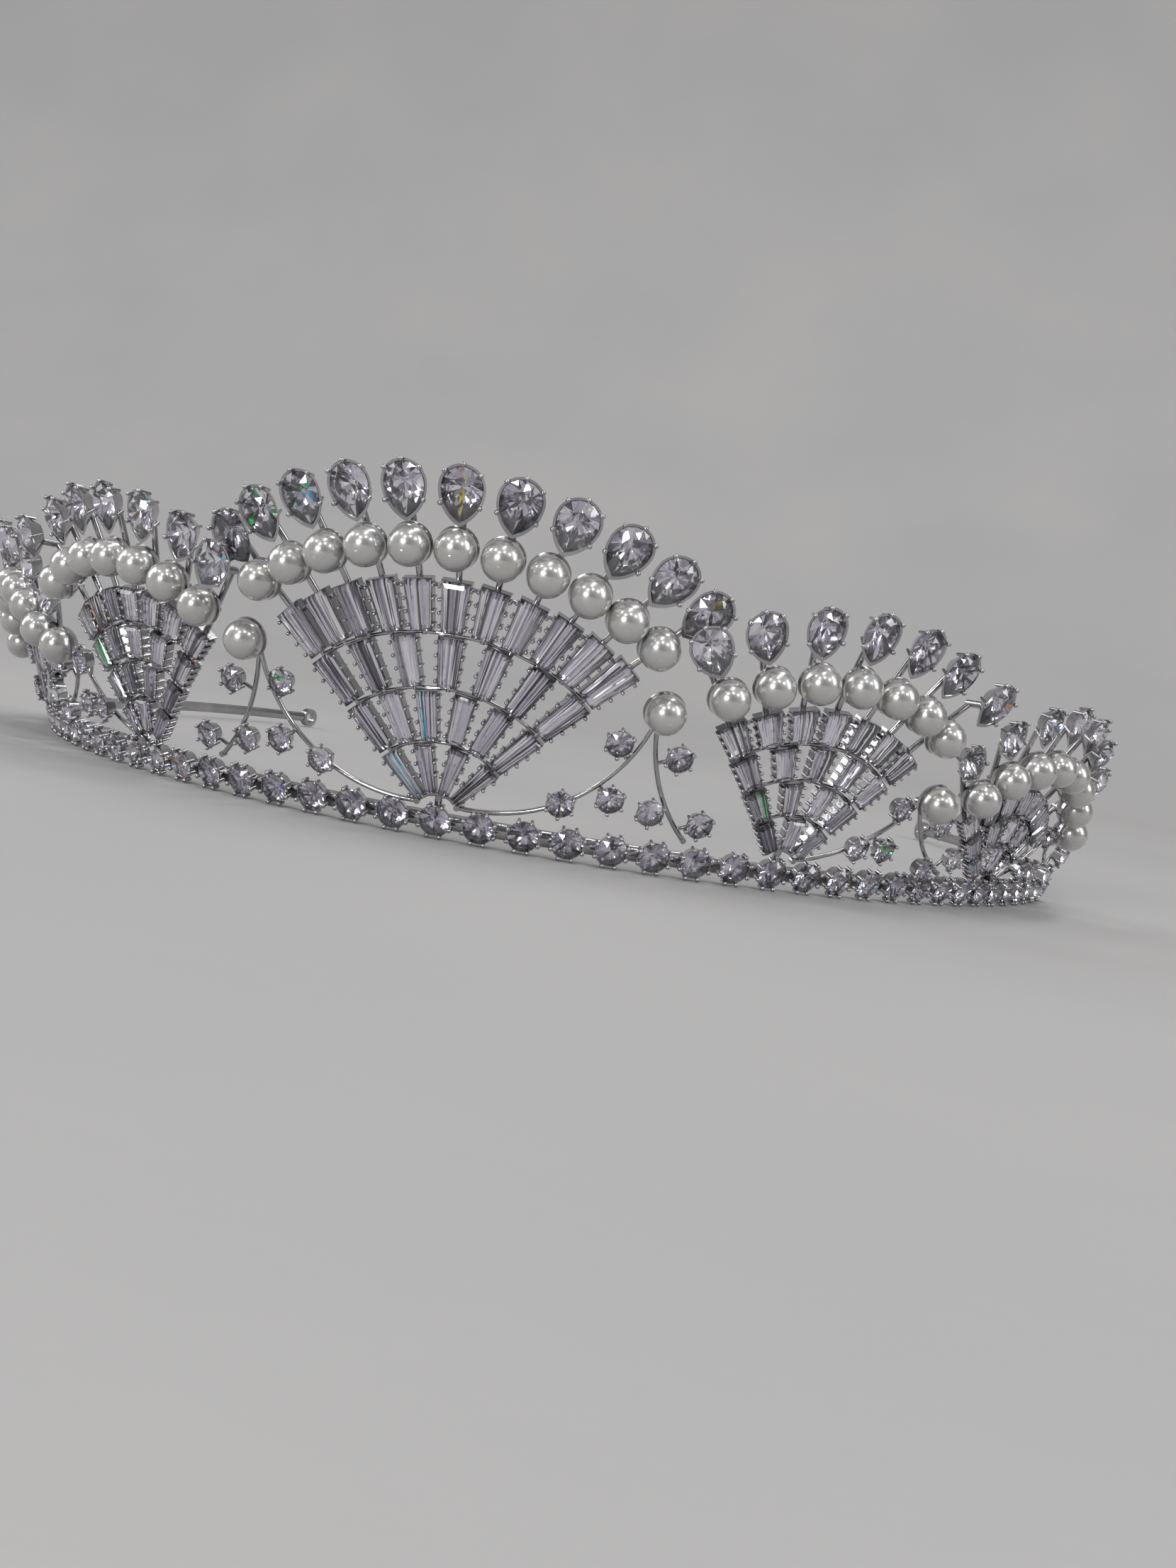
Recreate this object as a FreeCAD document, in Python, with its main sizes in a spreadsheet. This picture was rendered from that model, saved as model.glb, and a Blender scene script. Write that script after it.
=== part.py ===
"""Bridal tiara with five fans of baguettes, pearls and pear stones on a wire rail.

Millimetres. +Z is up, the front faces -Y, and the tiara is the same on both sides of the
plane X = 0. The origin is the middle of the tiara's footprint, on the surface it stands on.

Every piece is placed from the stone line, an ellipse seen from above that runs through the
centres of the base stones. A place on the tiara is given by how far along that line it is
from the middle of the front, how far up the leaning face, and how far out, level, from it.
"""
import FreeCAD, Part
import math
import os

Vector = FreeCAD.Vector
Placement = FreeCAD.Placement
Rotation = FreeCAD.Rotation

os.makedirs("parts", exist_ok=True)
document = FreeCAD.newDocument("bridal_tiara")

# ---------------------------------------------------------------- driving dimensions

DIMENSIONS = (
    ("pitch", 4.5, "spacing of the base stones along the stone line"),
    ("line_half_width", 73.0, "stone line: half of its width, ear to ear"),
    ("line_half_depth", 94.5, "stone line: half of the full ellipse, front to back"),
    ("line_centre_back", 27.25, "how far the ellipse's centre is behind the origin"),
    ("lean", 19.5, "degrees that the face leans outward from upright"),
    ("base_height", 1.84, "height of the base stones' centres"),
    ("base_stones_each_side", 22, "base stones on each side of the middle one"),
    ("rail_reach", 183.0, "length of the rail from the middle of the front to each end"),
    ("rail_set_back", 1.55, "how far the rail is behind the stone line"),
    ("rail_half_height", 0.85, "rail's oval section: half its height"),
    ("rail_half_thickness", 0.5, "rail's oval section: half its thickness"),
    ("solder_overlap", 0.1, "how far the rail's ends reach into the eyelets"),
    ("eyelet_radius", 1.65, "end eyelet: outer radius"),
    ("eyelet_bore", 0.95, "end eyelet: bore radius"),
    ("eyelet_length", 1.2, "end eyelet: length of the bore"),
    ("base_stone_radius", 1.6, "round base stone at its girdle"),
    ("base_stone_out", 0.45, "base stone's girdle, level, in front of the stone line"),
    ("vine_stone_radius", 1.35, "round vine stone at its girdle"),
    ("pearl_radius", 2.05, "pearl"),
    ("pearl_out", 2.5, "pearl's centre, level, in front of the leaning face"),
    ("cup_wall", 0.25, "pearl cup: thickness"),
    ("cup_latitude", -22.0, "pearl cup: where its rim is, in degrees from the pearl's equator"),
    ("apex_rise", 0.45, "where a fan's ribs would meet, above the base stones' centres"),
    ("fan_inner", 2.4, "radius at which a fan's lowest tier starts"),
    ("tier_gap", 0.35, "gap between two tiers"),
    ("tiers_below_pearls", 2.7, "from the top of the tiers to the ring of pearls"),
    ("pear_beyond_pearl", 5.3, "from the ring of pearls to the ring of pears"),
    ("centre_ring", 27.5, "centre fan: radius of its ring of pearls"),
    ("side_ring", 21.3, "side fans: radius of the ring of pearls"),
    ("flank_ring", 16.4, "flank fans: radius of the ring of pearls"),
    ("centre_spread", 39.0, "centre fan: degrees from its middle to its edge"),
    ("side_spread", 34.0, "side fans: the same"),
    ("flank_spread", 45.5, "flank fans: the same"),
    ("side_station", 36.3, "side fans: length along the stone line"),
    ("flank_station", 69.75, "flank fans: length along the stone line"),
    ("channel_width", 3.0, "widest channel, at the top of the tiers"),
    ("channel_narrowing", 0.5, "share of that width that is left at the apex"),
    ("channel_taper", 0.74, "a channel's inner end as a share of its outer end"),
    ("channel_clearance", 0.12, "least gap between the inner ends of neighbouring channels"),
    ("channel_wall", 0.2, "wall and end of a channel"),
    ("channel_floor", 0.4, "floor of a channel"),
    ("channel_depth", 0.6, "height of a channel's walls above its floor"),
    ("baguette_height", 1.15, "baguette above the channel's floor"),
    ("baguette_bevel", 0.35, "baguette's step-cut edge"),
    ("bead_radius", 0.21, "ball prong beside a baguette"),
    ("bead_post", 0.13, "radius of that prong's post"),
    ("bead_foot", 0.2, "how far that post starts below the channel's floor"),
    ("bead_gap", 0.12, "from the outside of the channel's wall to the post's axis"),
    ("beads_per_side", 4, "ball prongs on each side of a baguette"),
    ("solder_margin", 0.06, "how much wider a solder peg is than its wires"),
    ("arc_wire_radius", 0.2, "wire arcs that tie a fan's ribs together"),
    ("stem_radius", 0.33, "stem from a rib to its pear"),
    ("pear_radius", 2.0, "pear stone: radius of its round end"),
    ("pear_point", 3.2, "pear stone: from the centre of the round end to the point"),
    ("pear_out", 2.1, "pear's girdle, level, in front of the leaning face"),
    ("pear_crown", 0.75, "pear stone: height above the girdle"),
    ("pear_girdle", 0.1, "pear stone: thickness of the girdle"),
    ("pear_pavilion", 1.35, "pear stone: depth below the girdle"),
    ("pear_table", 0.58, "pear stone: its table, as a share of the girdle's outline"),
    ("pear_culet", 0.1, "pear stone: its lowest outline, as such a share"),
    ("basket_wall", 0.28, "pear setting: thickness"),
    ("basket_depth", 1.75, "pear setting: depth below the girdle"),
    ("basket_back", 0.45, "pear setting: outline of its back, as a share of the stone's"),
    ("basket_hollow_back", 0.24, "pear setting: its hollow at the back, as such a share"),
    ("basket_hollow_mouth", 1.02, "pear setting: its hollow at the mouth, as such a share"),
    ("pear_prong_radius", 0.26, "pear setting: ball prong"),
    ("pear_prong_post", 0.17, "pear setting: radius of a prong's post"),
    ("pear_prong_gap", 0.26, "pear setting: from the stone's girdle to a prong's axis"),
    ("pear_prong_turn", 50.0, "pear setting: degrees from the top prong to the next ones"),
    ("pear_prong_back", 0.73, "pear setting: where a prong starts on the basket, as a share"),
    ("vine_wire_radius", 0.25, "wires of a vine"),
    ("twig_radius", 0.2, "twig from a vine's wire to a stone beside it"),
    ("vine_stone_rise", 0.15, "backs of a vine's settings, in front of its wires' axes"),
    ("neck_radius", 0.5, "neck that joins a vine's cup to its wires"),
    ("foot_radius", 0.4, "post under a fan"),
    ("foot_overlap", 0.3, "how far that post reaches up behind the lowest tier"),
    ("centre_foot", 1.1, "lower end of the centre fan's post, above the base stones' centres"),
    ("side_foot", 1.1, "side fans: the same"),
    ("flank_foot", 0.0, "flank fans: the same; their posts stand between two base stones"),
    ("table_spread", 0.6, "round stone: radius of its table, as a share of its girdle's"),
    ("table_height", 0.32, "round stone: height of its table, as such a share"),
    ("culet_spread", 0.06, "round stone: radius of its culet, as such a share"),
    ("culet_depth", 0.72, "round stone: depth of its culet, as such a share"),
    ("collet_start", 0.95, "round setting: depth of its back, as a share of its stone's radius"),
    ("collet_length", 0.9, "round setting: length, as such a share, like the rest below"),
    ("collet_back", 0.7, "round setting: outer radius at the back"),
    ("collet_mouth", 1.06, "round setting: outer radius at the mouth"),
    ("hollow_back", 0.42, "round setting: inner radius at the back"),
    ("hollow_mouth", 0.97, "round setting: inner radius at the mouth"),
    ("prong_circle", 1.09, "round setting: radius at which its prongs stand"),
    ("prong_post", 0.12, "round setting: radius of a prong"),
    ("prong_start", 0.35, "round setting: depth of a prong's foot"),
    ("prong_top", 0.12, "round setting: height of a prong's ball"),
    ("prong_ball", 0.16, "round setting: radius of a prong's ball"),
)

sheet = document.addObject("Spreadsheet::Sheet", "dimensions")
for row, (alias, value, meaning) in enumerate(DIMENSIONS, start=1):
    sheet.set(f"A{row}", meaning)
    sheet.set(f"B{row}", str(value))
    sheet.setAlias(f"B{row}", alias)
document.recompute()


def size(alias):
    """The value of one cell of the sheet."""
    return float(sheet.get(alias))


# ---------------------------------------------------------------- places on the tiara

UP = Vector(0, 0, 1)
LEAN = math.radians(size("lean"))
PITCH = size("pitch")
LINE_CENTRE = Vector(0, size("line_centre_back"), 0)


def half_ellipse(inset):
    """Right half of the stone line, moved inward, as an edge that starts at the front."""
    front = LINE_CENTRE - Vector(0, size("line_half_depth") - inset, 0)
    side = LINE_CENTRE + Vector(size("line_half_width") - inset, 0, 0)
    return Part.Ellipse(front, side, LINE_CENTRE).toShape(0, math.pi)


STONE_LINE = half_ellipse(0.0)
RAIL_LINE = half_ellipse(size("rail_set_back"))


def line_place(line, along):
    """Point, direction and outward normal at a length along a line; left is negative."""
    parameter = line.getParameterByLength(abs(along))
    point = line.valueAt(parameter)
    direction = line.tangentAt(parameter)
    if along < 0:
        point = Vector(-point.x, point.y, point.z)
        direction = Vector(direction.x, -direction.y, direction.z)
    return point, direction, Vector(direction.y, -direction.x, 0)


def seat(along, up, out=0.0, turn=0.0):
    """Placement on the leaning face: X along it, Y up it, Z facing out, turned clockwise."""
    point, direction, outward = line_place(STONE_LINE, along)
    climb = UP * math.cos(LEAN) + outward * math.sin(LEAN)
    facing = outward * math.cos(LEAN) - UP * math.sin(LEAN)
    origin = point + climb * up + outward * out + UP * size("base_height")
    square = Rotation(direction, climb, facing, "XYZ")
    return Placement(origin, square.multiply(Rotation(Vector(0, 0, 1), -math.degrees(turn))))


def facing_of(placement):
    """The way a placement's Z axis points."""
    return placement.Rotation.multVec(Vector(0, 0, 1))


def aim(low, high, facing):
    """Placement at one point whose Y axis runs to another and whose Z axis faces out."""
    along = (high - low).normalize()
    across = along.cross(facing).normalize()
    return Placement(low, Rotation(across, along, across.cross(along), "XYZ"))


def placed(shape, placement):
    """A copy of a shape, moved by a placement."""
    copy = shape.copy()
    copy.Placement = placement.multiply(copy.Placement)
    return copy


def rod(start, end, radius):
    """Round bar from one point to another."""
    return Part.makeCylinder(radius, (end - start).Length, start, end - start)


def fuse(shapes):
    """One solid from shapes that overlap."""
    return shapes[0].multiFuse(shapes[1:])


def solder(point, direction, wire):
    """Short peg through the point where wires of one radius meet."""
    radius = wire + size("solder_margin")
    return rod(point - direction * radius, point + direction * radius, radius)


def pin(foot, head, post, ball):
    """Post with a ball centred on its head."""
    length = (head - foot).Length
    shoulder = length - math.sqrt(ball**2 - post**2)
    corners = (Vector(0, 0, length + ball), Vector(), Vector(post, 0, 0), Vector(post, 0, shoulder))
    outline = [Part.makeLine(first, second) for first, second in zip(corners, corners[1:])]
    outline.append(Part.Arc(corners[3], Vector(ball, 0, length), corners[0]).toShape())
    turned = Part.Face(Part.Wire(outline)).revolve(Vector(), UP, 360)
    return placed(turned, Placement(foot, Rotation(UP, head - foot)))


# ---------------------------------------------------------------- nodes

nodes = []


def keep(item, name):
    """Name an object of the document as one sub-part."""
    item.Label = name
    nodes.append(item)
    return item


def keep_group(name, shapes, home):
    """Sub-part made of one or more solids, whose own frame is at home."""
    item = document.addObject("Part::Feature", name)
    back = home.inverse()
    item.Shape = Part.makeCompound([placed(shape, back) for shape in shapes])
    item.Placement = home
    return keep(item, name)


def mirrored(shapes):
    """Mirror images of shapes, on the other side of the tiara."""
    return [shape.mirror(Vector(0, 0, 0), Vector(1, 0, 0)) for shape in shapes]


def keep_sides(name, part, shapes, homes):
    """Sub-part for each side that has one; the left one is the mirror image of the right."""
    for side, home in homes.items():
        version = mirrored(shapes) if side == "_left" else shapes
        keep_group(f"{name}{side}_{part}", version, home)


def both_sides(along, up):
    """Placements of a pair of sub-parts, from the place of the right one."""
    return {"_right": seat(along, up), "_left": seat(-along, up)}


def bound(kind, name, placement=Placement(), **expressions):
    """Primitive whose sizes are bound to the sheet; names in brackets stand for its cells."""
    item = document.addObject(kind, name)
    item.Placement = placement
    for property_name, text in expressions.items():
        item.setExpression(property_name, text.replace("[", "dimensions.").replace("]", ""))
    return item


def cut(name, base, tool):
    """Boolean cut of two objects."""
    item = document.addObject("Part::Cut", name)
    item.Base = base
    item.Tool = tool
    return item


def shift(z):
    """Placement that only lifts."""
    return Placement(Vector(0, 0, z), Rotation())


# ---------------------------------------------------------------- rail and end eyelets


def make_rail():
    """Oval wire behind the base stones that runs on as two bare arms."""
    reach = size("rail_reach")
    end_angle = math.degrees(RAIL_LINE.getParameterByLength(reach))
    lift = UP * size("base_height")
    spine = bound(
        "Part::Ellipse",
        "rail_spine",
        Placement(LINE_CENTRE + lift, Rotation(Vector(0, 1, 0), Vector(-1, 0, 0), UP, "XYZ")),
        MajorRadius="[line_half_depth] - [rail_set_back]",
        MinorRadius="[line_half_width] - [rail_set_back]",
    )
    spine.Angle1 = 180 - end_angle
    spine.Angle2 = 180 + end_angle
    start, direction, outward = line_place(RAIL_LINE, -reach)
    section = bound(
        "Part::Ellipse",
        "rail_section",
        Placement(start + lift, Rotation(UP, outward, direction, "XYZ")),
        MajorRadius="[rail_half_height]",
        MinorRadius="[rail_half_thickness]",
    )
    document.recompute()
    rail = document.addObject("Part::Sweep", "base_rail")
    rail.Sections = [section]
    rail.Spine = (spine, ["Edge1"])
    rail.Solid = True
    rail.Frenet = False
    keep(rail, "base_rail")


def make_eyelet(name, side):
    """Ring at one end of the rail; its bore runs level, through the band."""
    end, direction, outward = line_place(RAIL_LINE, side * size("rail_reach"))
    touch = size("eyelet_radius") - size("solder_overlap")
    centre = end + direction * side * touch + UP * size("base_height")
    start = centre - outward * size("eyelet_length") / 2
    placement = Placement(start, Rotation(direction, UP, outward, "ZXY"))
    disc = bound(
        "Part::Cylinder",
        f"{name}_disc",
        placement,
        Radius="[eyelet_radius]",
        Height="[eyelet_length]",
    )
    bore = bound(
        "Part::Cylinder",
        f"{name}_bore",
        placement,
        Radius="[eyelet_bore]",
        Height="[eyelet_length]",
    )
    keep(cut(name, disc, bore), name)


# ---------------------------------------------------------------- round stones


def make_round_stone(name, radius):
    """Eight-sided brilliant: table, girdle and culet, with its girdle at z = 0."""
    levels = (
        ("table", size("table_spread"), size("table_height")),
        ("girdle", 1.0, 0.0),
        ("culet", size("culet_spread"), -size("culet_depth")),
    )
    sections = []
    for level, spread, height in levels:
        polygon = bound(
            "Part::RegularPolygon",
            f"{name}_{level}",
            shift(height * size(radius)),
            Circumradius=f"[{radius}] * {spread}",
        )
        polygon.Polygon = 8
        sections.append(polygon)
    loft = document.addObject("Part::Loft", name)
    loft.Sections = sections
    loft.Solid = True
    loft.Ruled = True
    return loft


def make_round_setting(name, radius, prongs):
    """Collet with ball prongs, for a stone whose girdle is at z = 0."""
    reach = size(radius)
    back = shift(-size("collet_start") * reach)
    collet = bound(
        "Part::Cone",
        f"{name}_collet",
        back,
        Radius1=f"[{radius}] * [collet_back]",
        Radius2=f"[{radius}] * [collet_mouth]",
        Height=f"[{radius}] * [collet_length]",
    )
    hollow = bound(
        "Part::Cone",
        f"{name}_hollow",
        back,
        Radius1=f"[{radius}] * [hollow_back]",
        Radius2=f"[{radius}] * [hollow_mouth]",
        Height=f"[{radius}] * [collet_length]",
    )
    pieces = [cut(f"{name}_ring", collet, hollow)]
    for index in range(prongs):
        angle = 2 * math.pi * (index + 0.5) / prongs
        foot = Vector(math.cos(angle), math.sin(angle), 0) * reach * size("prong_circle")
        post = bound(
            "Part::Cylinder",
            f"{name}_post_{index}",
            Placement(foot - UP * size("prong_start") * reach, Rotation()),
            Radius=f"[{radius}] * [prong_post]",
            Height=f"[{radius}] * ([prong_start] + [prong_top])",
        )
        ball = bound(
            "Part::Sphere",
            f"{name}_ball_{index}",
            Placement(foot + UP * size("prong_top") * reach, Rotation()),
            Radius=f"[{radius}] * [prong_ball]",
        )
        pieces += [post, ball]
    fused = document.addObject("Part::MultiFuse", name)
    fused.Shapes = pieces
    return fused


# ---------------------------------------------------------------- pearls and their cups


def make_pearl_cup():
    """Shallow bowl behind a pearl, whose centre is the pearl's."""
    outside = bound("Part::Sphere", "cup_outside", Radius="[pearl_radius] + [cup_wall]")
    inside = bound("Part::Sphere", "cup_inside", Radius="[pearl_radius]")
    outside.setExpression("Angle2", "dimensions.cup_latitude")
    return cut("cup", outside, inside)


# ---------------------------------------------------------------- pear stones


def flank(grow, share):
    """Point on a teardrop's right flank, at a share of the way from its middle to its tip.

    The flank is an arc that leaves the round end square and meets the other at the tip.
    """
    radius = size("pear_radius") * grow
    point = size("pear_point") * grow
    bend = (radius**2 + point**2) / (2 * radius)
    return radius - bend + math.sqrt(bend**2 - (point * share) ** 2), -point * share


def teardrop(grow, height):
    """Teardrop outline, point down: a half circle and two arcs that meet at the point."""
    radius, tip_y = size("pear_radius") * grow, -size("pear_point") * grow
    x, y = flank(grow, 0.5)
    right, left = Vector(radius, 0, height), Vector(-radius, 0, height)
    tip, crest = Vector(0, tip_y, height), Vector(0, radius, height)
    arcs = (
        Part.Arc(right, crest, left),
        Part.Arc(left, Vector(-x, y, height), tip),
        Part.Arc(tip, Vector(x, y, height), right),
    )
    return Part.Wire([arc.toShape() for arc in arcs])


def pear_stone(scale):
    """Pear-shaped stone with its girdle at z = 0."""
    levels = (
        (size("pear_table"), size("pear_crown")),
        (1.0, size("pear_girdle")),
        (1.0, 0.0),
        (size("pear_culet"), -size("pear_pavilion")),
    )
    outlines = [teardrop(grow * scale, height * scale) for grow, height in levels]
    return Part.makeLoft(outlines, True, True)


def pear_setting(scale):
    """Polished basket behind a pear stone, with ball prongs round its edge."""
    wall = size("basket_wall")
    depth = size("basket_depth") * scale
    mouth = scale + wall / size("pear_radius")
    outer = (teardrop(mouth, 0), teardrop(size("basket_back") * scale, -depth))
    inner = (
        teardrop(size("basket_hollow_mouth") * scale, 0),
        teardrop(size("basket_hollow_back") * scale, wall - depth),
    )
    solid, hollow = (Part.makeLoft(list(pair), True, True) for pair in (outer, inner))
    ball = size("pear_prong_radius")
    gap = size("pear_prong_gap")
    reach = size("pear_radius") * scale + gap
    turn = math.radians(size("pear_prong_turn"))
    feet = [
        Vector(reach * math.sin(angle), reach * math.cos(angle), 0)
        for angle in (-turn, 0.0, turn)
    ]
    x, y = flank(scale, 0.5)
    feet += [Vector(-x - gap, y, 0), Vector(x + gap, y, 0)]
    pieces = [solid.cut(hollow)]
    for foot in feet:
        behind = foot * size("pear_prong_back") - UP * depth * size("pear_prong_back")
        pieces.append(pin(behind, foot + UP * ball, size("pear_prong_post"), ball))
    return fuse(pieces)


# ---------------------------------------------------------------- channels and baguettes


def trapezoid(low_width, high_width, low, high, height):
    """Outline that is symmetric about Y and stands at one height."""
    corners = (
        Vector(-low_width / 2, low, height),
        Vector(low_width / 2, low, height),
        Vector(high_width / 2, high, height),
        Vector(-high_width / 2, high, height),
    )
    return Part.makePolygon(corners + corners[:1])


def prism(low_width, high_width, low, high, floor, top):
    """Straight block on a trapezoid."""
    face = Part.Face(trapezoid(low_width, high_width, low, high, floor))
    return face.extrude(Vector(0, 0, top - floor))


class Bar:
    """One baguette of a fan, from its inner end out."""

    def __init__(self, low, high, high_width, spacings, open_side):
        self.placement = aim(low.Base, high.Base, facing_of(low))
        self.length = (high.Base - low.Base).Length
        # From this bar to its neighbours, at its inner and at its outer end.
        self.low_spacing, self.high_spacing = spacings
        self.high_width = high_width
        self.low_width = min(
            high_width * size("channel_taper"), self.low_spacing - size("channel_clearance")
        )
        self.open_side = open_side

    def channel(self):
        """Open tray that holds the baguette; its floor's top is at z = 0."""
        low, high, length = self.low_width, self.high_width, self.length
        wall = size("channel_wall")
        depth = size("channel_depth")
        tray = prism(low, high, 0, length, -size("channel_floor"), depth)
        room = prism(low - 2 * wall, high - 2 * wall, wall, length - wall, 0, depth)
        return placed(tray.cut(room), self.placement)

    def baguette(self):
        """Step-cut stone that fills the channel and stands above its walls."""
        wall = size("channel_wall")
        bevel = size("baguette_bevel")
        top = size("baguette_height")
        low, high = self.low_width - 2 * wall, self.high_width - 2 * wall
        start, end = wall, self.length - wall
        outlines = (
            trapezoid(low, high, start, end, 0),
            trapezoid(low, high, start, end, top - bevel),
            trapezoid(low - 2 * bevel, high - 2 * bevel, start + bevel, end - bevel, top),
        )
        return placed(Part.makeLoft(list(outlines), True, True), self.placement)

    def beads(self):
        """Ball prongs along both sides, where the next bar leaves room for them."""
        radius = size("bead_radius")
        gap = size("bead_gap")
        count = int(size("beads_per_side"))
        made = []
        for index in range(count):
            share = (index + 0.5) / count
            y = share * self.length
            half_width = (self.low_width + (self.high_width - self.low_width) * share) / 2
            spacing = self.low_spacing + (self.high_spacing - self.low_spacing) * share
            room = spacing / 2 - half_width
            for side in (-1, 1):
                if side != self.open_side and room < gap + radius:
                    continue
                x = side * (half_width + gap)
                foot = Vector(x, y, -size("bead_foot"))
                head = Vector(x, y, size("baguette_height") - size("baguette_bevel"))
                made.append(pin(foot, head, size("bead_post"), radius))
        return [placed(bead, self.placement) for bead in made]


# ---------------------------------------------------------------- fans


class Fan:
    """One fan, or a pair of them: where it stands, how it opens and the bars in each tier."""

    def __init__(self, name, kind, station, tiers, pear_scale, edge_pear_out):
        self.name = name
        self.station = station
        self.ring = size(f"{kind}_ring")
        self.spread = math.radians(size(f"{kind}_spread"))
        self.foot_start = size(f"{kind}_foot")
        self.tiers = tiers
        self.pear_scale = pear_scale
        self.edge_pear_out = edge_pear_out
        self.homes = {"": seat(0.0, size("apex_rise"))}
        if station:
            self.homes = both_sides(station, size("apex_rise"))

    def seat(self, radius, angle, out=0.0):
        """Placement at a radius and an angle from the fan's apex."""
        along = self.station + radius * math.sin(angle)
        return seat(along, size("apex_rise") + radius * math.cos(angle), out, angle)

    def angles(self, count):
        """Angles of a number of bars, evenly from edge to edge."""
        return [self.spread * (2 * index / (count - 1) - 1) for index in range(count)]

    def stem_angles(self):
        """Angles of the top bars, each of which carries a pearl and a pear."""
        return self.angles(self.tiers[0])

    def tier_radii(self, tier):
        """Inner and outer radius of a tier; tier 0 is the top one."""
        top = self.ring - size("tiers_below_pearls")
        step = (top - size("fan_inner")) / len(self.tiers)
        outer = top - tier * step
        return outer - step + size("tier_gap"), outer

    def channel_width(self, radius):
        """A channel's outer width, from the radius that it reaches."""
        left = size("channel_narrowing")
        top = self.ring - size("tiers_below_pearls")
        return size("channel_width") * (left + (1 - left) * radius / top)

    def bars(self):
        """Every bar in every tier."""
        found = []
        for tier, count in enumerate(self.tiers):
            inner, outer = self.tier_radii(tier)
            width = self.channel_width(outer)
            angles = self.angles(count)
            ends = [(self.seat(inner, angle), self.seat(outer, angle)) for angle in angles]
            for index, (low, high) in enumerate(ends):
                neighbour = ends[index - 1] if index else ends[1]
                spacings = [low.Base.distanceToPoint(neighbour[0].Base)]
                spacings.append(high.Base.distanceToPoint(neighbour[1].Base))
                open_side = {0: -1, count - 1: 1}.get(index, 0)
                found.append(Bar(low, high, width, spacings, open_side))
        return found

    def tie_wire(self, radius, level, count):
        """Wire that runs from rib to rib at one radius, with a solder peg under each rib."""
        wire = size("arc_wire_radius")
        seats = [self.seat(radius, angle, level) for angle in self.angles(count)]
        knots = [spot.Base for spot in seats]
        made = [rod(first, second, wire) for first, second in zip(knots, knots[1:])]
        for spot in seats:
            along = spot.Rotation.multVec(Vector(0, 1, 0))
            made.append(solder(spot.Base, along, wire))
        return made

    def tie_wires(self):
        """A wire behind the top of the fan, and one between each tier and the next."""
        under_floor = -size("channel_floor") - size("arc_wire_radius") / 2
        top = self.tier_radii(0)[1] - 3 * size("arc_wire_radius")
        made = self.tie_wire(top, under_floor, self.tiers[0])
        for tier, count in enumerate(self.tiers):
            gap_middle = self.tier_radii(tier)[0] - size("tier_gap") / 2
            made += self.tie_wire(gap_middle, -size("channel_floor") / 2, count)
        return made

    def foot(self):
        """Post from the base stones up behind the lowest tier."""
        level = -size("channel_floor") - size("foot_radius") / 2
        low = self.seat(self.foot_start - size("apex_rise"), 0.0, level).Base
        high = self.seat(size("fan_inner") + size("foot_overlap"), 0.0, level).Base
        return rod(low, high, size("foot_radius"))

    def pear_out(self, angle):
        """How far out a pear stands; those at the edge pass their neighbours."""
        edge = math.isclose(abs(angle), self.spread)
        return size("pear_out") + (self.edge_pear_out if edge else 0.0)

    def stems(self):
        """Stem of each top bar, past its pearl and up to its pear.

        A pear that stands further out is held off its stem by a level bracket.
        """
        stem = size("stem_radius")
        top = self.ring - size("tiers_below_pearls")
        behind_cup = size("pearl_out") - size("pearl_radius") - size("cup_wall") - stem
        depth = size("basket_depth") * self.pear_scale
        pear_foot = self.ring + size("pear_beyond_pearl")
        made = []
        for angle in self.stem_angles():
            pear_back = self.pear_out(angle) - depth
            end = min(pear_back, size("pear_out") - depth)
            stops = (
                (top - 3 * stem, -size("channel_floor")),
                (self.ring, behind_cup),
                (pear_foot, end),
            )
            seats = [self.seat(radius, angle, out) for radius, out in stops]
            points = [spot.Base for spot in seats]
            made += [rod(first, second, stem) for first, second in zip(points, points[1:])]
            made.append(solder(points[1], facing_of(seats[1]), stem))
            if pear_back > end:
                bracket = stem + size("solder_margin")
                ends = [self.seat(pear_foot, angle, out).Base for out in (end - bracket, pear_back)]
                made.append(rod(*ends, bracket))
        return made

    def keep(self, part, shapes):
        """Keep one kind of piece."""
        keep_sides(self.name, part, shapes, self.homes)

    def make(self, cup, pearl):
        """The fan's seven sub-parts."""
        bars = self.bars()
        trays = [bar.channel() for bar in bars]
        frame = fuse(trays + self.tie_wires() + self.stems() + [self.foot()])
        self.keep("frame", [frame])
        self.keep("baguettes", [bar.baguette() for bar in bars])
        self.keep("prongs", [bead for bar in bars for bead in bar.beads()])
        seats = [self.seat(self.ring, angle, size("pearl_out")) for angle in self.stem_angles()]
        self.keep("pearl_cups", [placed(cup, spot) for spot in seats])
        self.keep("pearls", [placed(pearl, spot) for spot in seats])
        middle_to_round_end = (size("pear_point") - size("pear_radius")) / 2
        radius = self.ring + size("pear_beyond_pearl") + middle_to_round_end
        seats = [self.seat(radius, angle, self.pear_out(angle)) for angle in self.stem_angles()]
        self.keep("pear_settings", [placed(pear_setting(self.pear_scale), s) for s in seats])
        self.keep("pear_stones", [placed(pear_stone(self.pear_scale), s) for s in seats])


# ---------------------------------------------------------------- vines


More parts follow.
